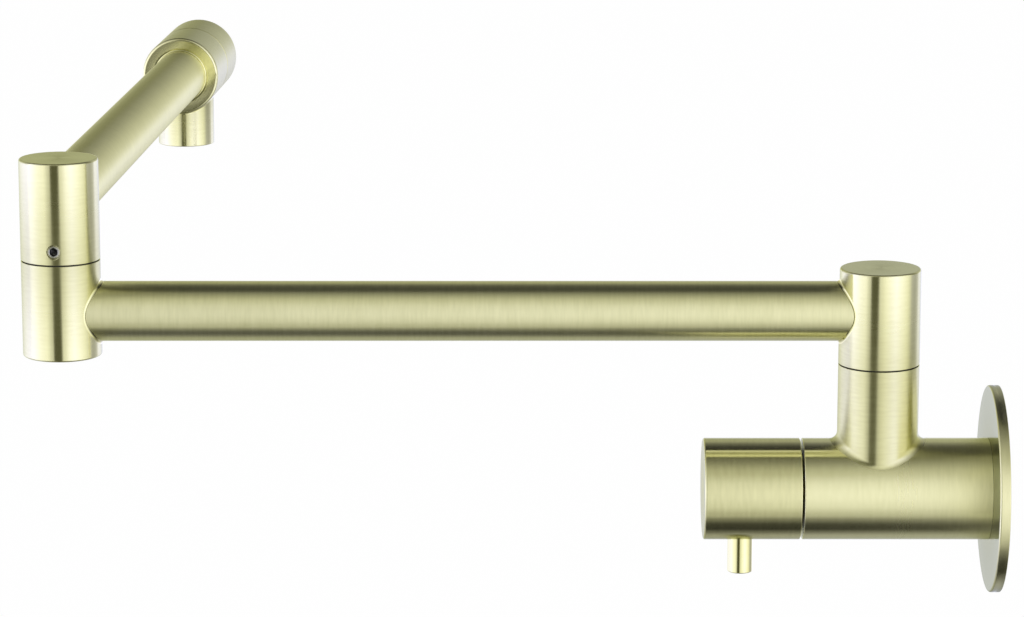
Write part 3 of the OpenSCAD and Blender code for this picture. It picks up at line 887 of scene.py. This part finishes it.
def knob(name, node, body, frame, diameter, start, end, pin_frame):
    """A knob: a cup with a blind socket for the spindle and a hole for its lever pin."""
    inside, floor = diameter / 2 - KNOB_WALL, start + KNOB_HOLLOW
    deep = end - PIN_IN + PIN_D / 2 + 1
    outline = [
        (0, deep), (SPINDLE_D / 2, deep), (SPINDLE_D / 2, floor), (inside, floor), (inside, start),
        (diameter / 2, start, 0.4), (diameter / 2, end, 0.8), (0, end)]
    piece = turned(name, outline, frame)
    cutter = hole_cutter(pin_frame, PIN_D / 2 + FIT, diameter / 2 - PIN_SUNK, diameter / 2, 0.15)
    cut(piece, cutter, outline, frame)
    brush(piece, body, node, frame, KNOB_SHADED_BRASS)


def lever_pin(name, node, body, diameter, pin_frame):
    """A lever pin: a stud inside the knob and a short polished bar with a softly crowned end."""
    r, tip, crown = PIN_D / 2, diameter / 2 + PIN_OUT, 2 * PIN_D
    stud_r, stud_end, shoulder = 2.5, SPINDLE_D / 2 + 0.1, diameter / 2 - PIN_SUNK + FIT

    def on_crown(share, edge=None):
        return r * share, tip - crown + math.sqrt(crown ** 2 - (r * share) ** 2), edge

    piece = turned(name, [
        (0, stud_end), (stud_r, stud_end), (stud_r, shoulder), (r, shoulder), on_crown(1, 0.45),
        *(on_crown(share) for share in (0.8, 0.6, 0.4, 0.2)), (0, tip)], pin_frame, 96)
    polish(piece, body, node, pin_frame)


def arm_tube(arm, body, frame, start, end):
    """An arm's tube, with its wall and the normals of a true cylinder."""
    tube = grown(arm + "_bar", TUBES, {
        "Start": start * MM, "End": end * MM, "Radius": TUBE_D / 2 * MM, "Sides": 144,
        "Material": brushed_brass(arm + "_tube_brass", frame, BAR_LIT_BRASS)}, frame, wall=TUBE_WALL)
    round_about(tube.data, frame)
    lay_grain(tube, frame)
    finish_piece(tube, body, "brushed_brass", None, arm + "_tube")


def make_wall_body():
    """The flange, the valve body and the riser with its fillet."""
    bore, groove = NECK_D / 2 + FIT, WALL_RING_T + 0.1
    ring_in, ring_out = (WALL_RING_D / 2 + side * (WALL_RING_T / 2 + 0.2) for side in (-1, 1))
    flange = turned("flange_disc", [
        (bore, 0), (ring_in, 0), (ring_in, groove), (ring_out, groove), (ring_out, 0),
        (FLANGE_D / 2, 0, 0.3), (FLANGE_D / 2, FLANGE_T, 0.8), (bore, FLANGE_T)], VALVE, 192)
    # The flange's darker tones are painted shade, and its grey-blue tint is a painted reflection
    brass = brushed_brass("flange_brass", VALVE, FLANGE_SHADED_BRASS, FLANGE_REFLECTION_TINT)
    finish_piece(flange, "base", "brushed_brass", brass, "wall_flange")

    step, relief = FLANGE_T + FIT, INLET_DEEP + 2
    body = turned("valve_bar", [
        (THREAD_ROOT_D / 2, 0, 0.3), (NECK_D / 2, 0), (NECK_D / 2, step), (BODY_D / 2, step),
        (BODY_D / 2, BODY_LEN, 0.4), *valve_room(BODY_LEN, RISER_OUT - SEAT_LEAD), (FEED_D / 2, relief),
        (INLET_SEAT_D / 2, relief), (INLET_SEAT_D / 2, INLET_DEEP), (THREAD_ROOT_D / 2, INLET_DEEP)], VALVE)
    brush(body, "base", "valve_body", VALVE, BAR_LIT_BRASS)

    foot = stem_foot(RISER_D, BODY_D)
    riser = turned("riser_bar", [
        (SPIGOT_BORE / 2, foot), (RISER_D / 2, foot), (RISER_D / 2, RISER_SEAM, SEAM_EDGE),
        *spigot_outline(RISER_SEAM), (SPIGOT_BORE / 2, RISER_SEAM + SPIGOT_H)], RISER)
    brush(riser, "base", "riser_stub", RISER)
    across = place(RISER.translation, UP, -TO_ROOM)
    fillet = tee_fillet("riser_fillet", RISER_D, BODY_D, RISER_FILLET, across)
    brush(fillet, "base", "riser_fillet_ring", RISER)


def make_inlet_thread():
    """The pipe thread in the inlet."""
    ridge, start, plain_end = 1.0, 1.3, 3.0
    turns = (INLET_DEEP - plain_end) / THREAD_PITCH
    thread = grown("inlet_thread_ridge", thread_tree(), {
        "Radius": (THREAD_CREST_D / 2 + ridge) * MM, "Ridge": ridge * MM, "Turns": turns,
        "Height": turns * THREAD_PITCH * MM, "Start": start * MM, "Material": INNER_BRASS}, VALVE)
    finish_piece(thread, "base", "brushed_brass", None)


def make_first_arm():
    """The riser hub, the first tube with its brazed ends and the lower elbow hub."""
    hub("riser_hub", "arm1_riser_hub", "arm_1", RISER, RISER_D, RISER_SEAM, RISER_TOP, -TO_ROOM)
    grub_screw("riser_set_screw", "riser_grub_screw", "arm_1", RISER, RISER_D, RISER_SEAM, -TO_ROOM)
    arm_tube("arm1", "arm_1", ARM1, 9.5, ARM1_LEN - 8.8)
    polish(tee_fillet("arm1_braze_in", TUBE_D, RISER_D, BRAZE_R, ARM1), "arm_1", "arm1_braze", ARM1)
    polish(tee_fillet("arm1_braze_out", TUBE_D, ELBOW_D, BRAZE_R, ARM1_END), "arm_1", "arm1_braze", ARM1)

    floor = ELBOW_FOOT + HUB_END
    lower = turned("elbow_lower_hub", [
        (0, ELBOW_FOOT), (ELBOW_D / 2, ELBOW_FOOT, 0.8), (ELBOW_D / 2, ELBOW_SEAM, SEAM_EDGE),
        *spigot_outline(ELBOW_SEAM), (SPIGOT_BORE / 2, ELBOW_SEAM + SPIGOT_H), (SPIGOT_BORE / 2, floor),
        (0, floor)], ELBOW)
    brush(lower, "arm_1", "arm1_elbow_hub", ELBOW)


def make_second_arm():
    """The upper elbow hub, the second tube, its brazes and the spout body with its outlet."""
    hub("elbow_upper_hub", "arm2_elbow_hub", "arm_2", ELBOW, ELBOW_D, ELBOW_SEAM, ELBOW_TOP, -ALONG_ARM2)
    grub_screw("elbow_set_screw", "elbow_grub_screw", "arm_2", ELBOW, ELBOW_D, ELBOW_SEAM, -ALONG_ARM2)
    arm_tube("arm2", "arm_2", ARM2, 9.2, ARM2_LEN + TUBE_SEAT - FIT)
    polish(tee_fillet("arm2_braze_in", TUBE_D, ELBOW_D, BRAZE_R, ARM2), "arm_2", "arm2_braze", ARM2)

    r, front, sharp = TUBE_D / 2 + 0.03, ARM2_LEN - 0.03, 0.02
    back, out = front - BRAZE_R - FIT, r + BRAZE_R + FIT
    collar = turned("arm2_braze_collar", [
        (r - SUNK, front + SUNK), (r - SUNK, back, sharp), (r, back, sharp), (r, front, BRAZE_R),
        (out, front, sharp), (out, front + SUNK)], ARM2)
    polish(collar, "arm_2", "arm2_braze", ARM2)

    mouth, seat = ARM2_LEN + HEAD_LEN, ARM2_LEN + OUTLET_IN - SEAT_LEAD
    socket, socket_end = TUBE_D / 2 + FIT, ARM2_LEN + TUBE_SEAT
    head = turned("spout_bar", [
        (socket, ARM2_LEN), (HEAD_D / 2, ARM2_LEN, 1.2), (HEAD_D / 2, mouth, 0.4), *valve_room(mouth, seat),
        (FEED_D / 2, socket_end), (socket, socket_end)], ARM2)
    brush(head, "arm_2", "spout_body", ARM2)

    foot = stem_foot(OUTLET_D, HEAD_D)
    seat_r, seat_top = AERATOR_D / 2 + FIT, OUTLET_DROP - AERATOR_H - 2
    outlet = turned("outlet_bar", [
        (OUTLET_BORE / 2, foot), (OUTLET_D / 2, foot), (OUTLET_D / 2, OUTLET_DROP, 0.4),
        (seat_r, OUTLET_DROP, 0.3), (seat_r, seat_top), (OUTLET_BORE / 2, seat_top)], OUTLET)
    brush(outlet, "arm_2", "outlet_pipe", OUTLET)
    ring = tee_fillet("outlet_braze_ring", OUTLET_D, HEAD_D, BRAZE_R, OUTLET)
    polish(ring, "arm_2", "outlet_braze", OUTLET)


def make_aerator():
    """The aerator's cage and its honeycomb screen."""
    lip = OUTLET_DROP - 1.5
    top, low = OUTLET_DROP - AERATOR_H, lip + 1.2
    inside, mouth = SCREEN_D / 2 + FIT, SCREEN_D / 2 - 0.8
    cage = turned("aerator_ring", [
        (inside, top), (AERATOR_D / 2, top), (AERATOR_D / 2, low, 0.4), (mouth, low, 0.3), (mouth, lip),
        (inside, lip)], OUTLET, 96)
    polish(cage, "arm_2", "aerator_cage", OUTLET)
    screen = grown("aerator_honeycomb", honeycomb_tree(), {
        "Cell": SCREEN_CELL * MM, "Web": SCREEN_WEB * MM, "Height": SCREEN_H * MM,
        "Radius": SCREEN_D / 2 * MM, "Start": (lip - SCREEN_H) * MM, "Material": plastic()}, OUTLET)
    screen.data.polygons.foreach_set("use_smooth", [False] * len(screen.data.polygons))
    finish_piece(screen, "arm_2", "white_plastic", None, "aerator_screen")


def make_o_rings():
    """Every O-ring, from one tree."""
    tree = o_ring_tree()
    on_spigot = (SPIGOT_D / 2 - RING_T / 2 - FIT, RING_T)
    on_spindle = (GLAND_RING_R, GLAND_RING_T)
    main_gland, spout_gland = BODY_LEN - GLAND_IN, ARM2_LEN + HEAD_LEN - GLAND_IN
    for name, node, body, frame, (middle, thick), low, count in (
            ("riser_rings", "riser_o_rings", "base", RISER, on_spigot, RISER_SEAM + LOW_RING_UP, 2),
            ("elbow_rings", "elbow_o_rings", "arm_1", ELBOW, on_spigot, ELBOW_SEAM + LOW_RING_UP, 2),
            ("flange_ring", "flange_o_ring", "base", VALVE, (WALL_RING_D / 2, WALL_RING_T - 0.1), 1.02, 1),
            ("main_gland_ring", "main_spindle_o_ring", "main_handle", VALVE, on_spindle, main_gland, 1),
            ("spout_gland_ring", "spout_spindle_o_ring", "spout_handle", ARM2, on_spindle, spout_gland, 1)):
        ring = grown(name, tree, {
            "Middle Radius": middle * MM, "Thickness": thick * MM, "Low": low * MM,
            "Apart": (HIGH_RING_UP - LOW_RING_UP) * MM, "Count": count, "Material": RUBBER}, frame)
        finish_piece(ring, body, "black_rubber", None, node)


def make_handles():
    """Both knobs with their lever pins."""
    for name, body, frame, diameter, mouth, length in (
            ("main", "main_handle", VALVE, BODY_D, BODY_LEN, MAIN_KNOB_LEN),
            ("spout", "spout_handle", ARM2, HEAD_D, ARM2_LEN + HEAD_LEN, SPOUT_KNOB_LEN)):
        start, end = mouth + KNOB_GAP, mouth + KNOB_GAP + length
        pin_frame = place(frame @ Vector((0, 0, end - PIN_IN)), -UP)
        knob(name + "_knob_cup", name + "_knob", body, frame, diameter, start, end, pin_frame)
        lever_pin(name + "_pin", name + "_lever_pin", body, diameter, pin_frame)


def dress_inner_parts(nodes):
    """Materials for the parts that keep their CAD shape: cartridges, discs, spindles, seals and washers."""
    disc = ceramic()
    for name, node in nodes.items():
        if node.hide_render:
            continue
        if "disc" in name:
            material = disc
        elif "washer" in name or "seal" in name:
            material = RUBBER
        else:
            material = INNER_BRASS
        node.data.materials.clear()
        node.data.materials.append(material)


def make_camera():
    """The camera of the photograph: 1.4 m to the tap's side, a little above it, looking 12 degrees down."""
    camera = bpy.data.objects.new("camera", bpy.data.cameras.new("camera"))
    bpy.context.scene.collection.objects.link(camera)
    tilt = 0.2071
    camera.location = (1.4203, -0.1801, 0.3665)
    camera.rotation_euler = (math.pi / 2 - tilt, 0, math.pi / 2)
    camera.data.sensor_width, camera.data.lens = 36.0, 139.15
    camera.data.clip_end = 100
    bpy.context.scene.camera = camera


def make_floor():
    """A plain white floor well below, which keeps a faint shadow."""
    far, low = 40, -0.55
    floor = as_piece("floor", bpy.data.meshes.new("floor"))
    floor.data.from_pydata(
        [(-far, -far, low), (far, -far, low), (far, far, low), (-far, far, low)], [], [(0, 1, 2, 3)])
    material = bpy.data.materials.new("white_floor")
    bench = emptied(material)
    seen = bench.add("ShaderNodeLightPath", output="Is Camera Ray")
    matt = bench.add("ShaderNodeBsdfDiffuse", {}, {"Color": (0.92, 0.92, 0.92, 1)})
    white = bench.add("ShaderNodeEmission", {}, {"Color": (1, 1, 1, 1), "Strength": 1.0})
    mixed = bench.add("ShaderNodeMixShader", {}, {0: seen * 0.985, 1: matt, 2: white})
    bench.add("ShaderNodeOutputMaterial", {}, {"Surface": mixed})
    floor.data.materials.append(material)
    floor.visible_glossy = False


def make_card():
    """A tall dark card beside the camera, seen by reflections alone, for the dark streak down each hub.

    Its two sides fade outwards, first fast and then slowly.
    """
    near, left, right, low, high = 1.2, -1.35, 0.3, -1.6, 2.3
    card = as_piece("dark_card", bpy.data.meshes.new("dark_card"))
    card.data.from_pydata(
        [(near, left, low), (near, right, low), (near, right, high), (near, left, high)], [], [(0, 1, 2, 3)])
    material = bpy.data.materials.new("soft_ended_card")
    bench = emptied(material)
    _, side, height = bench.parts(bench.add("ShaderNodeTexCoord", output="Object"))
    from_left = side.eased(left, -0.75) * 0.45 + side.eased(-0.8, -0.7) * 0.55
    to_right = 1 - (side.eased(-0.3, -0.13) * 0.75 + side.eased(-0.14, right) * 0.25)
    cover = height.eased(low, -1.1) * (1 - height.eased(0.4, 2.2)) * from_left * to_right
    clear = bench.add("ShaderNodeBsdfTransparent")
    dark = bench.add("ShaderNodeEmission", {}, {"Color": (0.09, 0.09, 0.05, 1)})
    mixed = bench.add("ShaderNodeMixShader", {}, {0: cover, 1: clear, 2: dark})
    bench.add("ShaderNodeOutputMaterial", {}, {"Surface": mixed})
    card.data.materials.append(material)
    card.visible_camera = card.visible_diffuse = card.visible_shadow = card.visible_transmission = False


# The studio's walls: degrees round the tap from its +X side, and a colour
STUDIO_WALLS = (
    (-180, (0.9, 0.9, 0.9)), (-173, (0.95, 0.95, 0.8)), (-155, (1.1, 1.1, 1.05)), (-135, (1.2, 1.2, 1.35)),
    (-88, (1.22, 1.22, 1.6)), (-60, (1.04, 1.04, 1.1)), (-40, (0.97, 0.97, 0.92)), (-20, (0.97, 0.97, 0.88)),
    (5, (0.98, 0.98, 0.88)), (15, (1.0, 1.0, 0.95)), (42, (1.15, 1.15, 1.35)), (62, (1.04, 1.04, 1.05)),
    (78, (0.9, 0.9, 0.8)), (96, (0.55, 0.55, 0.48)), (110, (0.45, 0.45, 0.4)), (124, (0.62, 0.62, 0.58)),
    (134, (1.15, 1.15, 1.3)), (160, (1.2, 1.2, 1.5)), (172, (1.1, 1.1, 1.35)), (180, (0.9, 0.9, 0.95)))
# Its fall of light on the camera's side and on the far side: degrees up, a level, and blue's share of it
STUDIO_BEFORE = (
    (-90, 0.03, 0.8), (-72, 0.05, 0.8), (-58, 0.22, 0.85), (-44, 0.68, 0.9), (-28, 1.06, 0.98),
    (-8, 1.25, 1.02), (6, 1.25, 1.02), (24, 1.08, 0.98), (44, 0.62, 0.85), (60, 0.38, 0.8), (74, 0.2, 0.75),
    (90, 0.06, 0.7))
STUDIO_BEHIND = (
    (-90, 0.03, 0.8), (-76, 0.12, 0.8), (-60, 0.38, 0.85), (-40, 0.50, 0.95), (-24, 0.85, 1.1),
    (-10, 1.08, 1.25), (-3, 1.1, 1.2), (4, 0.86, 0.9), (14, 0.51, 0.75), (30, 0.42, 0.75), (42, 0.16, 0.8),
    (56, 0.03, 0.8), (72, 0.03, 0.8), (90, 0.06, 0.7))


def make_world():
    """A white room for the camera, plain light on matt surfaces, and the studio that the metal reflects."""
    world = bpy.data.worlds.new("studio")
    bench = emptied(world)
    bpy.context.scene.world = world
    x, y, z = bench.parts(bench.add("ShaderNodeTexCoord", output="Generated"))
    azimuth = bench.add("ShaderNodeMath", {"operation": "ARCTAN2"}, {0: y, 1: x}) / (2 * math.pi) + 0.5
    rise = bench.add("ShaderNodeMath", {"operation": "ARCSINE"}, {0: z}) / math.pi + 0.5

    def fall(stops):
        levels = [(degrees / 180 + 0.5, (level, level, level * blue)) for degrees, level, blue in stops]
        return bench.add("ShaderNodeValToRGB", {"stops": levels}, {"Fac": rise})

    walls = bench.add(
        "ShaderNodeValToRGB", {"stops": [(degrees / 360 + 0.5, colour) for degrees, colour in STUDIO_WALLS]},
        {"Fac": azimuth})
    height = bench.blended((-x).eased(-0.05, 0.15), fall(STUDIO_BEFORE), fall(STUDIO_BEHIND))
    studio = bench.blended(1.0, walls, height, "MULTIPLY")
    camera, glossy, clear = bench.outlets(
        "ShaderNodeLightPath", "Is Camera Ray", "Is Glossy Ray", "Is Transmission Ray")
    plain = bench.add("ShaderNodeBackground", {}, {"Color": (1, 1, 1, 1), "Strength": 0.75})
    white = bench.add("ShaderNodeBackground", {}, {"Color": (1, 1, 1, 1), "Strength": 1.0})
    mirrored = bench.add("ShaderNodeBackground", {}, {"Color": studio, "Strength": 1.0})
    lit = bench.add("ShaderNodeMixShader", {}, {0: (camera + clear).held(), 1: plain, 2: white})
    lit = bench.add("ShaderNodeMixShader", {}, {0: glossy, 1: lit, 2: mirrored})
    bench.add("ShaderNodeOutputWorld", {}, {"Surface": lit})


def make_lamp():
    """One soft lamp above the tap, which reflections don't show."""
    lamp = bpy.data.objects.new("soft_lamp", bpy.data.lights.new("soft_lamp", "AREA"))
    bpy.context.scene.collection.objects.link(lamp)
    lamp.data.shape, lamp.data.size, lamp.data.energy = "SQUARE", 1.6, 9.0
    lamp.location = (0.6, -0.9, 1.6)
    aim = Vector((0.0, -0.2, 0.05)) - lamp.location
    lamp.rotation_euler = aim.to_track_quat("-Z", "Y").to_euler()
    lamp.visible_glossy = False


bpy.context.scene.view_settings.view_transform = "Standard"
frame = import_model()

INNER_BRASS = raw_brass()
RUBBER = rubber()
TUBES = tube_tree()

make_camera()
make_floor()
make_card()
make_world()
make_lamp()
make_wall_body()
make_inlet_thread()
make_first_arm()
make_second_arm()
make_aerator()
make_o_rings()
make_handles()
dress_inner_parts(frame["nodes"])
